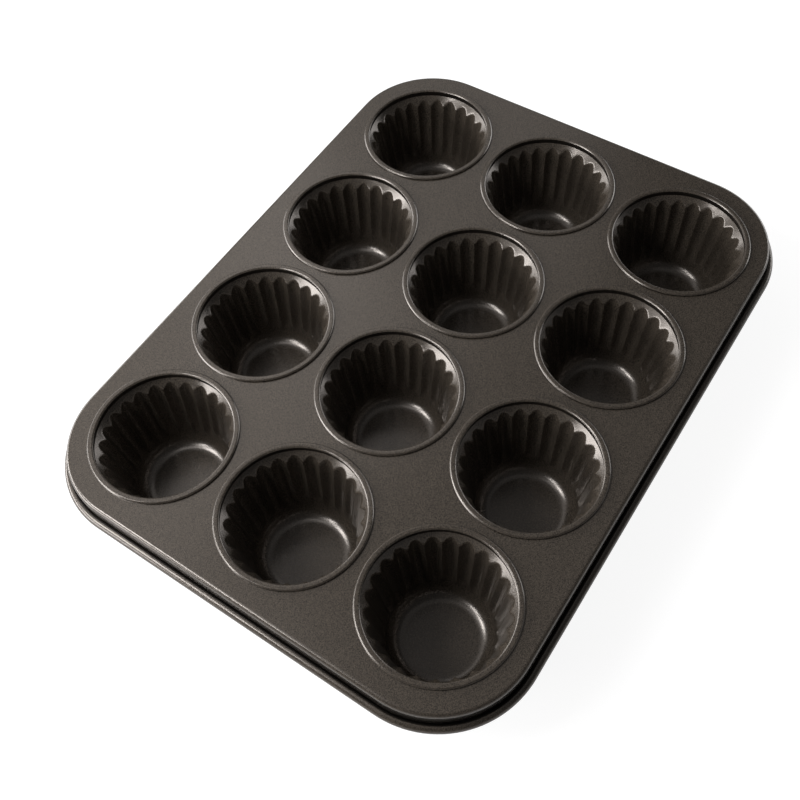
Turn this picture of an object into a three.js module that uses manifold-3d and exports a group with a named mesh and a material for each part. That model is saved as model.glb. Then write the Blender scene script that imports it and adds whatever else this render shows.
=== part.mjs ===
// Twelve-cup fluted muffin pan. Millimetres, +Z up, the cups stand on z = 0 and the origin is under
// the middle of the pan. One pressed frame plate carries a row-and-column pattern of drawn cups, and
// its edge is bent down and rolled round a stiffening wire.
import * as THREE from "three";
import { mergeVertices } from "three/addons/utils/BufferGeometryUtils.js";
import Module from "manifold-3d";

const wasm = await Module();
wasm.setup();

// Pattern of the cups: columns run along X and rows along Y.
const COLUMNS = 4;
const ROWS = 3;

// Sheet thicknesses, and the play between pieces that are pressed together on the real pan.
const CUP_SHEET = 0.7;
const PLATE_SHEET = 0.7;
const SEAT_PLAY = 0.3;

// Cup, measured inside. The depth runs from the top of the seam ring to the floor.
const MOUTH_RADIUS = 35.1;
const CUP_DEPTH = 53;
const WALL_DRAFT = 8.5;
const FLOOR_FILLET = 3.5;

// The smooth band under the mouth narrows downwards. Grooves end in arches high on the band and ridges
// in teeth low on it, so the band leans more than the wall by a flute's depth over the arch's rise.
const FLUTES = 24;
const FLUTE_DEPTH = 1.3;
const FLUTE_AT_FLOOR = 0.4;
const BAND_HEIGHT = 6;
const ARCH_RISE = 4;

// Raised seam ring, the turned-out mouth of a cup that lies on the plate round its hole.
const SEAM_WIDTH = 3.1;
const SEAM_THICKNESS = 1.1;

// Plate left between two seam rings, and from the outermost rings to the bend of the edge.
const LAND_BETWEEN = 4.6;
const LAND_AT_ENDS = 11.3;
const LAND_AT_SIDES = 9.4;
const LAND_AT_CORNERS = 8.8;

// Edge of the plate: a bend, a skirt with a slight flare, and a bead rolled outwards round the wire.
const BEND_RADIUS = 2;
const SKIRT_FLARE = 1;
const SKIRT_LENGTH = 9.6;
const WIRE_RADIUS = 1;
const BEAD_WRAP = 295;

const CORNER_STEPS = 7;
const HOLE_STEPS = 32;
const BEAD_STEPS = 6;
const WIRE_SIDES = 6;

const COATING = { color: 0x4b4744, roughness: 0.46, metalness: 0.35 };
const WIRE_STEEL = { color: 0x8d8c8a, roughness: 0.4, metalness: 0.9 };

const seamRadius = MOUTH_RADIUS + SEAM_WIDTH;
const pitch = 2 * seamRadius + LAND_BETWEEN;
const rimTop = CUP_SHEET + CUP_DEPTH;
const plateTop = rimTop - SEAM_THICKNESS - SEAT_PLAY;
const holeRadius = MOUTH_RADIUS + CUP_SHEET + SEAT_PLAY;
const halfLength = (pitch * (COLUMNS - 1)) / 2 + seamRadius + LAND_AT_ENDS;
const halfWidth = (pitch * (ROWS - 1)) / 2 + seamRadius + LAND_AT_SIDES;
const cornerRadius = seamRadius + LAND_AT_CORNERS;

const radians = THREE.MathUtils.degToRad;

function asSolid(geometry) {
  const bare = geometry.clone();
  bare.deleteAttribute("normal");
  bare.deleteAttribute("uv");
  const merged = mergeVertices(bare, 1e-4);
  return new wasm.Manifold(
    new wasm.Mesh({
      numProp: 3,
      vertProperties: merged.attributes.position.array,
      triVerts: new Uint32Array(merged.index.array),
    }),
  );
}

function asGeometry(solid) {
  const mesh = solid.getMesh();
  const geometry = new THREE.BufferGeometry();
  geometry.setAttribute("position", new THREE.BufferAttribute(mesh.vertProperties, 3));
  geometry.setIndex(new THREE.BufferAttribute(mesh.triVerts, 1));
  geometry.computeVertexNormals();
  return geometry;
}

function namedMesh(name, geometry, look) {
  const mesh = new THREE.Mesh(geometry, new THREE.MeshStandardMaterial(look));
  mesh.name = name;
  return mesh;
}

// Half section of a cup, from under the middle of the floor up the outside, round the seam ring and down
// the inside. Each entry holds radius and height, and how far a groove departs from the mean in both.
function cupSection() {
  const floor = CUP_SHEET;
  const bandFoot = rimTop - BAND_HEIGHT;
  const draft = radians(WALL_DRAFT);
  const bandSlope = Math.tan(draft) + FLUTE_DEPTH / ARCH_RISE;
  const wallTop = MOUTH_RADIUS - BAND_HEIGHT * bandSlope;
  const filletTop = floor + FLOOR_FILLET * (1 - Math.sin(draft));
  const wallFoot = wallTop - (bandFoot - filletTop) * Math.tan(draft);
  const floorEdge = wallFoot - FLOOR_FILLET * Math.cos(draft);
  const archSwing = ARCH_RISE / 2;
  const archReach = archSwing * bandSlope;
  const footReach = (FLUTE_DEPTH / 2) * FLUTE_AT_FLOOR;
  const flange = plateTop + SEAT_PLAY;
  return [
    [0, 0, 0, 0],
    [floorEdge + CUP_SHEET * Math.tan(draft), 0, 0, 0],
    [wallFoot + CUP_SHEET, filletTop, footReach, 0],
    [wallTop + CUP_SHEET, bandFoot, archReach, archSwing],
    [MOUTH_RADIUS + CUP_SHEET, flange, 0, 0],
    [seamRadius, flange, 0, 0],
    [seamRadius, rimTop, 0, 0],
    [MOUTH_RADIUS, rimTop, 0, 0],
    [wallTop, bandFoot, archReach, archSwing],
    [wallFoot, filletTop, footReach, 0],
    [floorEdge, floor, 0, 0],
    [0, floor, 0, 0],
  ];
}

// A cup is its section turned round the axis, with two meridians to a flute, one on a groove and one on
// a ridge, each shifted out or in by the section's own departures.
function cupGeometry() {
  const section = cupSection();
  const meridians = 2 * FLUTES;
  const outline = section.map(([radius, height]) => new THREE.Vector2(radius, height));
  const geometry = new THREE.LatheGeometry(outline, meridians);
  const place = geometry.attributes.position;
  for (let i = 0; i <= meridians; i++) {
    const turn = ((i % meridians) / meridians) * 2 * Math.PI;
    const side = i % 2 ? 1 : -1;
    section.forEach(([radius, height, reach, rise], j) => {
      const r = radius + side * reach;
      const z = height + side * rise;
      place.setXYZ(i * section.length + j, r * Math.sin(turn), -r * Math.cos(turn), z);
    });
  }
  geometry.deleteAttribute("uv");
  geometry.computeVertexNormals();
  return geometry;
}

// Points of the pan's rounded-rectangle outline, a given distance outside the bend line.
function outlinePoints(out) {
  const points = [];
  for (let corner = 0; corner < 4; corner++) {
    const x = (corner < 2 ? 1 : -1) * (halfLength - cornerRadius);
    const y = (corner % 3 ? 1 : -1) * (halfWidth - cornerRadius);
    for (let step = 0; step <= CORNER_STEPS; step++) {
      const turn = (corner + step / CORNER_STEPS) * (Math.PI / 2);
      const reach = cornerRadius + out;
      points.push(new THREE.Vector2(x + reach * Math.sin(turn), y - reach * Math.cos(turn)));
    }
  }
  return points;
}

// A closed section, given as distances outside the bend line and heights, carried round that outline.
function carriedRound(section) {
  const closed = [...section, section[0]];
  const loops = closed.map(([out]) => outlinePoints(out));
  const columns = loops[0].length;
  const lathe = closed.map(([out, height]) => new THREE.Vector2(cornerRadius + out, height));
  const geometry = new THREE.LatheGeometry(lathe, columns);
  const place = geometry.attributes.position;
  for (let i = 0; i <= columns; i++) {
    closed.forEach(([, height], j) => {
      const point = loops[j][i % columns];
      place.setXYZ(i * closed.length + j, point.x, point.y, height);
    });
  }
  geometry.deleteAttribute("uv");
  geometry.computeVertexNormals();
  return geometry;
}

// Middle line of the bent edge in cross-section: along the plate, round the bend, down the
// skirt, and round the wire as far as the bead wraps. Each entry is a point and the way it faces.
const beadMiddle = WIRE_RADIUS + SEAT_PLAY + PLATE_SHEET / 2;
const skirtTurn = radians(SKIRT_FLARE - 90);

function edgeLine() {
  const height = plateTop - PLATE_SHEET / 2;
  const start = { x: -3 * BEND_RADIUS, y: height, turn: 0 };
  const flat = { x: -BEND_RADIUS, y: height, turn: 0 };
  const bent = {
    x: flat.x - BEND_RADIUS * Math.sin(skirtTurn),
    y: height - BEND_RADIUS * (1 - Math.cos(skirtTurn)),
    turn: skirtTurn,
  };
  const foot = {
    x: bent.x + SKIRT_LENGTH * Math.cos(skirtTurn),
    y: bent.y + SKIRT_LENGTH * Math.sin(skirtTurn),
    turn: skirtTurn,
  };
  const centre = beadCentre(foot);
  const line = [start, flat, bent, foot];
  for (let step = 1; step <= BEAD_STEPS; step++) {
    const turn = skirtTurn + (radians(BEAD_WRAP) * step) / BEAD_STEPS;
    line.push({
      x: centre.x + beadMiddle * Math.sin(turn),
      y: centre.y - beadMiddle * Math.cos(turn),
      turn,
    });
  }
  return { line, centre };
}

function beadCentre(foot) {
  return {
    x: foot.x - beadMiddle * Math.sin(skirtTurn),
    y: foot.y + beadMiddle * Math.cos(skirtTurn),
  };
}

// The sheet's section: its upper face out along the middle line and its lower face back.
function edgeSection() {
  const face = (p, side) => [
    p.x - (side * PLATE_SHEET * Math.sin(p.turn)) / 2,
    p.y + (side * PLATE_SHEET * Math.cos(p.turn)) / 2,
  ];
  const { line } = edgeLine();
  const upper = line.map((p) => face(p, 1));
  const lower = line.map((p) => face(p, -1));
  return [...lower, ...upper.reverse()];
}

function cupCentres() {
  const centres = [];
  for (let row = 0; row < ROWS; row++) {
    for (let column = 0; column < COLUMNS; column++) {
      centres.push({
        name: `cup_r${row + 1}_c${column + 1}`,
        x: pitch * (column - (COLUMNS - 1) / 2),
        y: pitch * (row - (ROWS - 1) / 2),
      });
    }
  }
  return centres;
}

// The flat of the plate is a rounded rectangle with a hole for each cup. It overlaps the start of the
// bent edge, and the two are one sheet.
function plateGeometry(centres) {
  const flat = new THREE.Shape(outlinePoints(-2 * BEND_RADIUS));
  for (const { x, y } of centres) {
    const hole = new THREE.Path();
    hole.absarc(x, y, holeRadius, 0, 2 * Math.PI, true);
    flat.holes.push(hole);
  }
  const sheet = new THREE.ExtrudeGeometry(flat, {
    depth: PLATE_SHEET,
    bevelEnabled: false,
    curveSegments: HOLE_STEPS / 2,
  });
  sheet.translate(0, 0, plateTop - PLATE_SHEET);
  return asGeometry(asSolid(sheet).add(asSolid(carriedRound(edgeSection()))));
}

function wireGeometry() {
  const { centre } = edgeLine();
  const section = [];
  for (let side = 0; side < WIRE_SIDES; side++) {
    const turn = (side / WIRE_SIDES) * 2 * Math.PI;
    section.push([centre.x + WIRE_RADIUS * Math.cos(turn), centre.y + WIRE_RADIUS * Math.sin(turn)]);
  }
  return carriedRound(section);
}

const pan = new THREE.Group();
pan.name = "muffin_pan";
const centres = cupCentres();
pan.add(namedMesh("frame_plate", plateGeometry(centres), COATING));
pan.add(namedMesh("rim_wire", wireGeometry(), WIRE_STEEL));
const oneCup = cupGeometry();
for (const { name, x, y } of centres) {
  const cup = namedMesh(name, oneCup, COATING);
  cup.position.set(x, y, 0);
  pan.add(cup);
}

export default pan;
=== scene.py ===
import math

import bmesh
import bpy
from mathutils import Matrix, Vector


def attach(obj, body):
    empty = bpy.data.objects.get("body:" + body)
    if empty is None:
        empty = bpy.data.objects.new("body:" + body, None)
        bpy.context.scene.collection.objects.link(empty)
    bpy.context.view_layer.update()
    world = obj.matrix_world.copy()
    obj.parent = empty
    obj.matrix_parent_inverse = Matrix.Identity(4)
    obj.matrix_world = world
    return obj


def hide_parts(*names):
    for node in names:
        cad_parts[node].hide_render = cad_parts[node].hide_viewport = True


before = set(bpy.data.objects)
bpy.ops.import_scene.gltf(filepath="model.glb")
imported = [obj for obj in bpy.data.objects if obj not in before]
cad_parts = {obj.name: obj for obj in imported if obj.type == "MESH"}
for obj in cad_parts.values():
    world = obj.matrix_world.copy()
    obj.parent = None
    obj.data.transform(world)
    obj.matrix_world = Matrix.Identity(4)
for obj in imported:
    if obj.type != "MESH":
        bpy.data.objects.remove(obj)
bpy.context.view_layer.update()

# Sizes of the pan in millimetres, as in the frame. Heights start at the undersides of the cups.
MM = 0.001
COLUMNS, ROWS = 4, 3
PITCH = 81.0
CUP_SHEET, PLATE_SHEET = 0.7, 0.7
SEAM_TOP = 53.7
PLATE_TOP = 52.3
HOLE_RADIUS = 36.1

# Seam ring: flat on top, bevelled inside and outside, with a lip over the mouth and a foot just clear
# of the plate. Its edges are broken by two small amounts.
MOUTH_RADIUS = 35.1
SEAM_RADIUS = 38.2
SEAM_ROUND = 0.4
SEAM_BEVEL = 0.6
BEVEL_FALL = 0.9
SEAM_FOOT = 52.42
FOOT_WIDTH, FOOT_HEIGHT = 0.3, 0.7
LIP = 0.75
EDGE_BREAK, FINE_BREAK = 0.05, 0.03

# Cup wall: a recess under the ring's lip, a leaning band, then the flutes down to the floor. Depths are
# measured from the top of the ring.
RECESS = 0.3
DROP = 3.8
BAND_SLOPE = 0.9
BAND_DEPTH = 6.3
BAND_BLEND = 0.3
WALL_TOP_RADIUS = 32.65
WALL_LEAN = 8.5
WALL_SLOPE = math.tan(math.radians(WALL_LEAN))
FLUTES = 24
FLUTE_DEPTH = 2.2
FLUTE_SOFTNESS = 0.02
FLUTE_PHASE = math.radians(7.5)
FLUTE_FADE = (6.5, 15.0)
FLOOR_FILLET = 8.5
FLOOR_HEIGHT = CUP_SHEET

# How finely a cup is divided: round the cup, over the floor, up the wall, and in the zone of the teeth.
MERIDIANS = FLUTES * 10
FLOOR_SHARES = (0.0, 0.4, 0.8, 0.97)
FILLET_STEPS, WALL_STEPS, TEETH_STEPS = 9, 18, 30
TEETH_DEPTH = 11.5

# Outline of the plate: its bend line, and how the edge turns down and rolls round the wire.
BEND_HALF_LENGTH = 171.0
BEND_HALF_WIDTH = 128.6
CORNER_RADIUS = 47.0
BEND_RADIUS = 2.0
SKIRT_TURN = math.radians(-89.0)
SKIRT_LENGTH = 9.6
BEAD_RADIUS = 1.65
BEAD_WRAP = 302.0
FLAT_RINGS = (-6.0, -2.6)
SKIRT_SHARES = (0.08, 0.5, 0.92)
BEND_STEPS, BEAD_STEPS, CORNER_STEPS, HOLE_STEPS = 9, 30, 28, 96

# How dark the skirt is painted as shade, where 1 is the painted black shade of the grooves.
SKIRT_PAINTED_SHADE = 0.8

# Coating: dark and light grains, and the black painted as shade into recesses, grooves and the skirt.
GRAIN_SCALE = 2300.0
DARK_GRAIN = (0.013, 0.0106, 0.0083, 1)
LIGHT_GRAIN = (0.079, 0.0642, 0.0502, 1)
PAINTED_SHADE_BLACK = (0.004, 0.0035, 0.003, 1)
WARM_GLOSS = (0.96, 0.88, 0.82, 1)

# Camera, from the places of the cup mouths in the photograph.
VIEW_AZIMUTH, VIEW_ELEVATION, VIEW_ROLL = -51.10, 58.72, -6.16
VIEW_TARGET = Vector((-43.4, -8.59, SEAM_TOP)) * MM
VIEW_DISTANCE = 0.48335
FOCAL_PIXELS, IMAGE_PIXELS = 968.7, 800.0
SENSOR_WIDTH = 36.0

# Studio, in metres. The floor lies just clear of the cups' undersides.
FLOOR_REACH = 5.5
FLOOR_GAP = 0.0002
BACKDROP_HEIGHT = 1.3
BACKDROP_SIDES = 96
LAMP_DISTANCE = 0.9
LAMP_AIM = Vector((0, 0, 0.05))
ROOM_LIGHT = 0.09


def cup_centres():
    """Node name and centre of each cup."""
    for row in range(ROWS):
        for column in range(COLUMNS):
            x = PITCH * (column - (COLUMNS - 1) / 2)
            y = PITCH * (row - (ROWS - 1) / 2)
            yield f"cup_r{row + 1}_c{column + 1}", x, y


def arc(centre, radius, start, end, steps):
    """Points of an arc, with angles in degrees."""
    points = []
    for step in range(steps + 1):
        angle = math.radians(start + (end - start) * step / steps)
        points.append((centre[0] + radius * math.cos(angle), centre[1] + radius * math.sin(angle)))
    return points


def ease(value, low, high):
    """Smooth step from 0 at low to 1 at high."""
    share = min(max((value - low) / (high - low), 0.0), 1.0)
    return share * share * (3 - 2 * share)


def blended_max(a, b, width):
    """The larger of two values, rounded where they cross."""
    share = max(width - abs(a - b), 0.0) / width
    return max(a, b) + share * share * width / 4


def groove(turn):
    """1 in the middle of a flute's groove and -1 on a ridge: wide round grooves, narrow ridges."""
    wave = math.cos((turn - FLUTE_PHASE) * FLUTES / 2)
    low = math.sqrt(FLUTE_SOFTNESS)
    high = math.sqrt(1 + FLUTE_SOFTNESS)
    return 2 * (math.sqrt(wave * wave + FLUTE_SOFTNESS) - low) / (high - low) - 1


def mean_wall(height):
    """Radius of the wall between groove and ridge."""
    return WALL_TOP_RADIUS - (SEAM_TOP - BAND_DEPTH - height) * WALL_SLOPE


def wall_radius(height, turn):
    """Inside radius of a cup below the drop: the fluted wall, and the band that the flutes run into."""
    depth = SEAM_TOP - height
    band = MOUTH_RADIUS + RECESS - (depth - DROP) * BAND_SLOPE
    flute = FLUTE_DEPTH / 2 * ease(height, *FLUTE_FADE) * groove(turn)
    return blended_max(band, mean_wall(height) + flute, BAND_BLEND)


def floor_section():
    """Inside of a cup from the middle of the floor to the top of its fillet."""
    lean = math.radians(WALL_LEAN)
    fillet_middle = FLOOR_HEIGHT + FLOOR_FILLET
    fillet_top = fillet_middle - FLOOR_FILLET * math.sin(lean)
    floor_edge = mean_wall(fillet_top) - FLOOR_FILLET * math.cos(lean)
    section = [(floor_edge * share, FLOOR_HEIGHT) for share in FLOOR_SHARES]
    return section + arc((floor_edge, fillet_middle), FLOOR_FILLET, -90, -WALL_LEAN, FILLET_STEPS)


def wall_section(low):
    """Wall of a cup without its flutes, from the fillet to the drop, finer in the zone of the teeth."""
    teeth = SEAM_TOP - TEETH_DEPTH
    high = SEAM_TOP - DROP
    heights = [low + (teeth - low) * step / WALL_STEPS for step in range(1, WALL_STEPS + 1)]
    heights += [teeth + (high - teeth) * step / TEETH_STEPS for step in range(1, TEETH_STEPS + 1)]
    return [(mean_wall(height), height) for height in heights]


def ring_section():
    """Recess, lip and seam ring of a cup, from the top of the wall to the foot of the ring."""
    section = [
        (MOUTH_RADIUS + RECESS, SEAM_TOP - DROP + 3 * EDGE_BREAK),
        (MOUTH_RADIUS + RECESS, SEAM_TOP - LIP - RECESS),
        (MOUTH_RADIUS + 2 * FINE_BREAK, SEAM_TOP - LIP),
        (MOUTH_RADIUS, SEAM_TOP - LIP + 2 * EDGE_BREAK),
        (MOUTH_RADIUS + FINE_BREAK, SEAM_TOP - SEAM_BEVEL - EDGE_BREAK),
        (MOUTH_RADIUS + SEAM_BEVEL, SEAM_TOP - FINE_BREAK),
        (MOUTH_RADIUS + SEAM_BEVEL + 3 * EDGE_BREAK, SEAM_TOP),
    ]
    shoulder = SEAM_RADIUS - SEAM_BEVEL - SEAM_ROUND / 2
    section.append((shoulder - SEAM_ROUND, SEAM_TOP))
    section += arc((shoulder, SEAM_TOP - SEAM_ROUND), SEAM_ROUND, 90, 45, 4)
    nose = (SEAM_RADIUS - SEAM_ROUND / 2, section[-1][1] - SEAM_BEVEL * BEVEL_FALL)
    section += arc(nose, SEAM_ROUND / 2, 45, 0, 3)
    section.append((SEAM_RADIUS, SEAM_FOOT + EDGE_BREAK))
    section.append((SEAM_RADIUS - FOOT_WIDTH, SEAM_FOOT))
    return section


def turned(section, steps):
    """A bmesh of a section of radius and height turned once round the Z axis."""
    bm = bmesh.new()
    ring = [bm.verts.new((radius, 0, height)) for radius, height in section]
    line = [bm.edges.new(pair) for pair in zip(ring, ring[1:])]
    bmesh.ops.spin(bm, geom=ring + line, cent=(0, 0, 0), axis=(0, 0, 1), angle=2 * math.pi, steps=steps,
                   use_merge=True)
    bmesh.ops.remove_doubles(bm, verts=bm.verts, dist=1e-4)
    return bm


def flute_wall(bm, low, high):
    """Moves the plain turned wall above one height and up to another out and in to its fluted shape."""
    margin = 1e-3
    for vert in bm.verts:
        radius = math.hypot(vert.co.x, vert.co.y)
        if low + margin < vert.co.z < high + margin and radius < MOUTH_RADIUS:
            reach = wall_radius(vert.co.z, math.atan2(vert.co.y, vert.co.x)) / radius
            vert.co.x *= reach
            vert.co.y *= reach


def paint_recess_shade(bm):
    """Marks the hollow under the ring's lip and the outside of the ring's foot for painted black shade."""
    margin = 0.1
    mark = bm.verts.layers.float.new("painted_shade")
    for vert in bm.verts:
        radius = math.hypot(vert.co.x, vert.co.y)
        # Painted shade: the hollow under the lip and the ring's foot are painted black where shade falls.
        in_recess = SEAM_TOP - DROP + margin < vert.co.z < SEAM_TOP - LIP - margin
        under_lip = radius > MOUTH_RADIUS + margin and in_recess
        at_foot = radius > SEAM_RADIUS - FOOT_WIDTH - EDGE_BREAK and vert.co.z < SEAM_FOOT + FOOT_HEIGHT
        vert[mark] = 1.0 if under_lip or at_foot else 0.0


def thicken(bm, thickness):
    """Gives an open skin its sheet thickness, on the side away from its faces."""
    bmesh.ops.recalc_face_normals(bm, faces=bm.faces)
    if max(bm.faces, key=lambda f: f.calc_area()).normal.z < 0:
        bmesh.ops.reverse_faces(bm, faces=bm.faces)
    bmesh.ops.solidify(bm, geom=bm.faces[:], thickness=thickness)


def finished(bm, name, place=(0, 0, 0), sharp=40):
    """Makes a piece of a bmesh in millimetres: smooth faces, sharp edges kept, metres, riding on the pan."""
    bmesh.ops.translate(bm, verts=bm.verts, vec=place)
    bmesh.ops.scale(bm, verts=bm.verts, vec=(MM, MM, MM))
    for face in bm.faces:
        face.smooth = True
    for edge in bm.edges:
        edge.smooth = edge.calc_face_angle(0) < math.radians(sharp)
    mesh = bpy.data.meshes.new(name)
    bm.to_mesh(mesh)
    bm.free()
    piece = bpy.data.objects.new(name, mesh)
    bpy.context.scene.collection.objects.link(piece)
    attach(piece, "root")
    return piece


def make_cups(finish):
    """The twelve cups, each in the place of its solid."""
    floor = floor_section()
    wall = wall_section(floor[-1][1])
    plain = turned(floor + wall + ring_section(), MERIDIANS)
    flute_wall(plain, floor[-1][1], wall[-1][1])
    # Paints black shade under the lip and round the ring's foot.
    paint_recess_shade(plain)
    thicken(plain, CUP_SHEET)
    for node, x, y in cup_centres():
        piece = finished(plain.copy(), "fluted_" + node, (x, y, 0))
        piece.data.materials.append(finish)
        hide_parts(node)
    plain.free()


def edge_line():
    """Middle line of the plate's edge: distance outside the bend line, and height."""
    height = PLATE_TOP - PLATE_SHEET / 2
    line = [(-BEND_RADIUS, height)]
    line += [
        (-BEND_RADIUS + BEND_RADIUS * math.sin(-turn), height - BEND_RADIUS * (1 - math.cos(turn)))
        for turn in (SKIRT_TURN * step / BEND_STEPS for step in range(1, BEND_STEPS + 1))
    ]
    foot = (
        line[-1][0] + SKIRT_LENGTH * math.cos(SKIRT_TURN),
        line[-1][1] + SKIRT_LENGTH * math.sin(SKIRT_TURN),
    )
    for share in SKIRT_SHARES:
        line.append(tuple(a + (b - a) * share for a, b in zip(line[BEND_STEPS], foot)))
    centre = (foot[0] - BEAD_RADIUS * math.sin(SKIRT_TURN), foot[1] + BEAD_RADIUS * math.cos(SKIRT_TURN))
    start = math.degrees(SKIRT_TURN) - 90
    return line + arc(centre, BEAD_RADIUS, start, start + BEAD_WRAP, BEAD_STEPS)


def edge_painted_shade(step):
    """How much painted shade the edge line gets at one of its points: dark painted shade on the skirt, and
    painted black shade in the groove between the skirt's foot and the end of the bead."""
    foot = BEND_STEPS + len(SKIRT_SHARES) + 1
    bead_end = foot + BEAD_STEPS
    if step in (foot - 1, foot) or step >= bead_end - 2:
        return 1.0
    return SKIRT_PAINTED_SHADE if BEND_STEPS <= step < foot else 0.0


def outward(point):
    """Direction straight out of the pan's outline at a point of it."""
    inner = Vector((BEND_HALF_LENGTH - CORNER_RADIUS, BEND_HALF_WIDTH - CORNER_RADIUS))
    reach = Vector((
        math.copysign(max(abs(point.x) - inner.x, 0.0), point.x),
        math.copysign(max(abs(point.y) - inner.y, 0.0), point.y),
        0.0,
    ))
    return reach.normalized()


def rounded_outline(bm, out, height):
    """Edges of the pan's rounded rectangle, a distance outside the bend line."""
    bmesh.ops.create_grid(bm, x_segments=1, y_segments=1, size=1)
    bmesh.ops.scale(bm, verts=bm.verts, vec=(BEND_HALF_LENGTH + out, BEND_HALF_WIDTH + out, 1))
    bmesh.ops.translate(bm, verts=bm.verts, vec=(0, 0, height))
    bmesh.ops.bevel(bm, geom=bm.verts[:], offset=CORNER_RADIUS + out, offset_type="OFFSET", affect="VERTICES",
                    segments=CORNER_STEPS, profile=0.5, material=-1)
    bmesh.ops.delete(bm, geom=bm.faces[:], context="FACES_ONLY")
    return bm.edges[:]


def pierced_sheet(bm, out, height):
    """Flat middle of the plate with its holes, up to an outline. Returns the edges of that outline."""
    rim = rounded_outline(bm, out, height)
    holes = []
    for _, x, y in cup_centres():
        ring = bmesh.ops.create_circle(bm, cap_ends=False, segments=HOLE_STEPS, radius=HOLE_RADIUS,
                                       matrix=Matrix.Translation((x, y, height)))
        holes += {edge for vert in ring["verts"] for edge in vert.link_edges}
    bmesh.ops.triangle_fill(bm, use_beauty=True, use_dissolve=False, edges=rim + holes, normal=(0, 0, 1))
    return rim


def make_plate(finish):
    """The plate with its holes, bent edge and rolled bead, as one sheet."""
    line = edge_line()
    bm = bmesh.new()
    before, flat_edge = FLAT_RINGS
    rim = pierced_sheet(bm, before, line[0][1])
    mark = bm.verts.layers.float.new("painted_shade")
    for step, (out, height) in enumerate([(flat_edge, line[0][1])] + line):
        grown = bmesh.ops.extrude_edge_only(bm, edges=rim)["geom"]
        rim = [item for item in grown if isinstance(item, bmesh.types.BMEdge)]
        for vert in (item for item in grown if isinstance(item, bmesh.types.BMVert)):
            vert.co += outward(vert.co) * (out - before)
            vert.co.z = height
            # Painted shade: the skirt is painted dark and the groove by the bead black.
            vert[mark] = edge_painted_shade(step - 1)
        before = out
    thicken(bm, PLATE_SHEET)
    bmesh.ops.translate(bm, verts=bm.verts, vec=(0, 0, PLATE_SHEET / 2))
    piece = finished(bm, "plate_with_rolled_rim")
    piece.data.materials.append(finish)
    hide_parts("frame_plate")


def node_of(tree, kind, **inputs):
    """A shader node with its plain input values set."""
    made = tree.nodes.new(kind)
    for name, value in inputs.items():
        made.inputs[name.replace("_", " ")].default_value = value
    return made


def noise_of(tree, **inputs):
    """A noise on Object coordinates."""
    place = tree.nodes.new("ShaderNodeTexCoord")
    noise = node_of(tree, "ShaderNodeTexNoise", **inputs)
    tree.links.new(place.outputs["Object"], noise.inputs["Vector"])
    return noise.outputs["Fac"]


def speckle(tree, grain):
    """Colour of the coating from its grain."""
    tones = tree.nodes.new("ShaderNodeValToRGB")
    dark, light = tones.color_ramp.elements
    dark.position, dark.color = 0.35, DARK_GRAIN
    light.position, light.color = 0.70, LIGHT_GRAIN
    tree.links.new(grain, tones.inputs["Fac"])
    return tones.outputs["Color"]


def with_painted_shade(tree, colour):
    """The colour with painted shade: black where the piece's painted shade attribute is 1."""
    painted_shade = tree.nodes.new("ShaderNodeAttribute")
    painted_shade.attribute_name = "painted_shade"
    shade = tree.nodes.new("ShaderNodeMix")
    shade.data_type = "RGBA"
    shade.inputs[7].default_value = PAINTED_SHADE_BLACK
    tree.links.new(painted_shade.outputs["Fac"], shade.inputs["Factor"])
    tree.links.new(colour, shade.inputs[6])
    return shade.outputs[2]


def coating():
    """Dark warm-grey satin non-stick coating with a fine speckle, and black shade painted where the pieces
    mark it.
    """
    finish = bpy.data.materials.new("nonstick_coating")
    finish.use_nodes = True
    tree = finish.node_tree
    shader = tree.nodes["Principled BSDF"]
    shader.inputs["Roughness"].default_value = 0.24
    shader.inputs["Metallic"].default_value = 0.0
    shader.inputs["IOR"].default_value = 1.7
    shader.inputs["Specular Tint"].default_value = WARM_GLOSS
    grain = noise_of(tree, Scale=GRAIN_SCALE, Detail=2.0, Roughness=0.6)
    # Base colour: the speckle, with black painted shade from the pieces' shade attribute.
    tree.links.new(with_painted_shade(tree, speckle(tree, grain)), shader.inputs["Base Color"])
    bump = node_of(tree, "ShaderNodeBump", Strength=0.04, Distance=0.0003)
    tree.links.new(grain, bump.inputs["Height"])
    tree.links.new(bump.outputs["Normal"], shader.inputs["Normal"])
    return finish


def wire_steel():
    """Plain drawn steel of the wire in the bead."""
    finish = bpy.data.materials.new("wire_steel")
    finish.use_nodes = True
    tree = finish.node_tree
    shader = tree.nodes["Principled BSDF"]
    shader.inputs["Metallic"].default_value = 1.0
    shader.inputs["Base Color"].default_value = (0.42, 0.41, 0.40, 1)
    gloss = node_of(tree, "ShaderNodeMapRange", To_Min=0.30, To_Max=0.48)
    tree.links.new(noise_of(tree, Scale=220.0, Detail=3.0), gloss.inputs["Value"])
    tree.links.new(gloss.outputs["Result"], shader.inputs["Roughness"])
    return finish


def glowing_paper(tree, colour, glow):
    """White paper that gives off some light of its own, so that it stays white where lamps fall short."""
    both = tree.nodes.new("ShaderNodeAddShader")
    paper = node_of(tree, "ShaderNodeBsdfDiffuse", Color=(colour, colour, colour, 1))
    light = node_of(tree, "ShaderNodeEmission", Color=(1, 1, 1, 1), Strength=glow)
    tree.links.new(paper.outputs[0], both.inputs[0])
    tree.links.new(light.outputs[0], both.inputs[1])
    return both.outputs[0]


def either_shader(tree, share, first, second):
    """The first shader where the share is 0, the second where it is 1."""
    mix = tree.nodes.new("ShaderNodeMixShader")
    tree.links.new(share, mix.inputs["Fac"])
    tree.links.new(first, mix.inputs[1])
    tree.links.new(second, mix.inputs[2])
    return mix.outputs[0]


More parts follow.
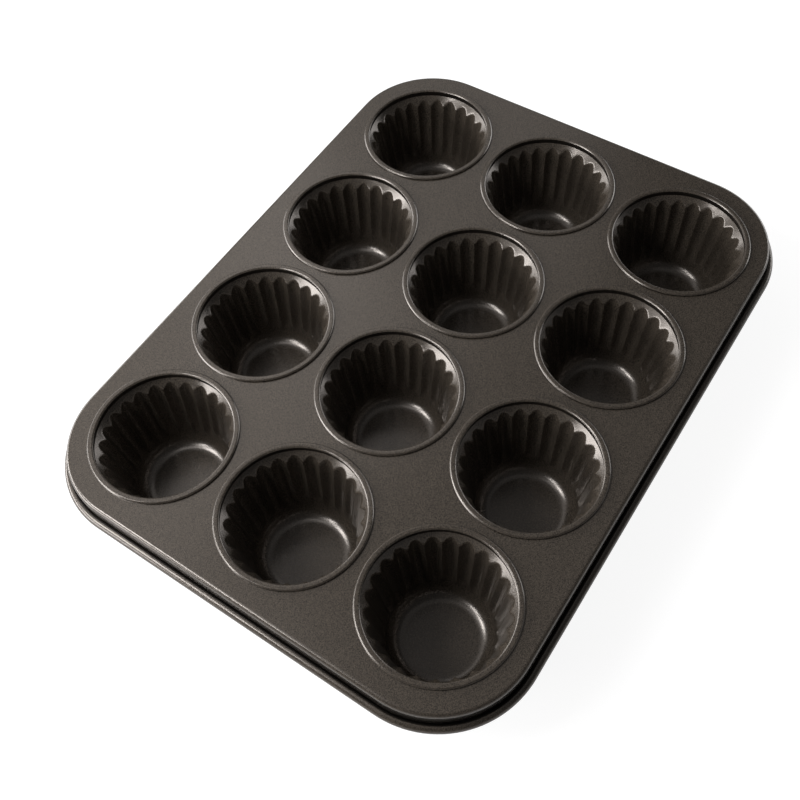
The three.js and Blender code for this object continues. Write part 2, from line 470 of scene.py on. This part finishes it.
def white_paper():
    """Floor paper: white where it is seen or mirrored, plain where it only passes light on."""
    paper = bpy.data.materials.new("white_paper")
    paper.use_nodes = True
    tree = paper.node_tree
    tree.nodes.remove(tree.nodes["Principled BSDF"])
    plain = node_of(tree, "ShaderNodeBsdfDiffuse", Color=(0.7, 0.7, 0.7, 1)).outputs[0]
    path = tree.nodes.new("ShaderNodeLightPath")
    mirrored = tree.nodes.new("ShaderNodeMath")
    mirrored.operation = "MAXIMUM"
    tree.links.new(path.outputs["Is Glossy Ray"], mirrored.inputs[0])
    tree.links.new(path.outputs["Is Transmission Ray"], mirrored.inputs[1])
    below = either_shader(tree, mirrored.outputs[0], plain, glowing_paper(tree, 0.5, 0.4))
    seen = either_shader(tree, path.outputs["Is Camera Ray"], below, glowing_paper(tree, 0.25, 0.9))
    tree.links.new(seen, tree.nodes["Material Output"].inputs["Surface"])
    return paper


def make_floor():
    """White round floor that keeps a faint shadow, with a low white backdrop round it."""
    bm = bmesh.new()
    bmesh.ops.create_circle(bm, cap_ends=True, segments=BACKDROP_SIDES, radius=FLOOR_REACH,
                            matrix=Matrix.Translation((0, 0, -FLOOR_GAP)))
    grown = bmesh.ops.extrude_edge_only(bm, edges=bm.edges[:])["geom"]
    top = [item for item in grown if isinstance(item, bmesh.types.BMVert)]
    bmesh.ops.translate(bm, verts=top, vec=(0, 0, BACKDROP_HEIGHT))
    mesh = bpy.data.meshes.new("floor")
    bm.to_mesh(mesh)
    bm.free()
    floor = bpy.data.objects.new("floor", mesh)
    bpy.context.scene.collection.objects.link(floor)
    floor.data.materials.append(white_paper())


def make_world():
    """Low even light from all round."""
    world = bpy.data.worlds.new("studio")
    bpy.context.scene.world = world
    world.use_nodes = True
    background = world.node_tree.nodes["Background"]
    background.inputs["Strength"].default_value = ROOM_LIGHT
    background.inputs["Color"].default_value = (1, 1, 1, 1)


def view_axes():
    """Right, up and back of the camera."""
    azimuth, elevation, roll = map(math.radians, (VIEW_AZIMUTH, VIEW_ELEVATION, VIEW_ROLL))
    back = Vector((
        math.sin(azimuth) * math.cos(elevation),
        -math.cos(azimuth) * math.cos(elevation),
        math.sin(elevation),
    ))
    level = Vector((math.cos(azimuth), math.sin(azimuth), 0))
    upright = back.cross(level)
    right = level * math.cos(roll) + upright * math.sin(roll)
    up = upright * math.cos(roll) - level * math.sin(roll)
    return right, up, back


def make_camera():
    """Camera at the photograph's place."""
    right, up, back = view_axes()
    data = bpy.data.cameras.new("camera")
    data.sensor_width = SENSOR_WIDTH
    data.lens = SENSOR_WIDTH * FOCAL_PIXELS / IMAGE_PIXELS
    data.clip_start, data.clip_end = 0.01, 50.0
    camera = bpy.data.objects.new("camera", data)
    bpy.context.scene.collection.objects.link(camera)
    turn = Matrix((right, up, back)).transposed().to_4x4()
    camera.matrix_world = Matrix.Translation(VIEW_TARGET + back * VIEW_DISTANCE) @ turn
    bpy.context.scene.camera = camera


def softbox(name, bearing, height, size, power):
    """A soft area lamp aimed at the pan. Bearing is in degrees from the photograph's right, turning
    towards its far side, and height is in degrees above the floor."""
    azimuth = math.radians(VIEW_AZIMUTH + bearing)
    lift = math.radians(height)
    away = Vector((math.cos(azimuth) * math.cos(lift), math.sin(azimuth) * math.cos(lift), math.sin(lift)))
    data = bpy.data.lights.new(name, "AREA")
    data.shape = "RECTANGLE"
    data.size, data.size_y = size
    data.energy = power
    lamp = bpy.data.objects.new(name, data)
    lamp.location = LAMP_AIM + away * LAMP_DISTANCE
    lamp.rotation_mode = "QUATERNION"
    lamp.rotation_quaternion = away.to_track_quat("Z", "Y")
    bpy.context.scene.collection.objects.link(lamp)


def make_lights():
    """A low strip and small high lamps on the photograph's left, with weak broad fill round the pan."""
    softbox("low_strip", 183, 14, (0.75, 0.25), 7.4)
    softbox("high_key", 180, 48, (0.22, 0.26), 4.1)
    softbox("top_key", 185, 68, (0.25, 0.25), 0.35)
    softbox("rim_key", 205, 46, (0.11, 0.2), 1.6)
    softbox("far_left_fill", 142, 11, (0.6, 0.3), 3.0)
    softbox("far_left_sheen", 121, 50, (0.6, 0.5), 0.78)
    softbox("far_sheen", 90, 38, (0.6, 0.5), 0.5)
    softbox("right_fill", 32, 8, (0.8, 0.3), 2.3)
    softbox("overhead", 90, 80, (0.8, 0.8), 0.28)


bpy.context.scene.view_settings.view_transform = "Standard"
pan_coating = coating()
make_cups(pan_coating)
make_plate(pan_coating)
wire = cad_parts["rim_wire"]
wire.data.materials.clear()
wire.data.materials.append(wire_steel())
make_floor()
make_world()
make_camera()
make_lights()
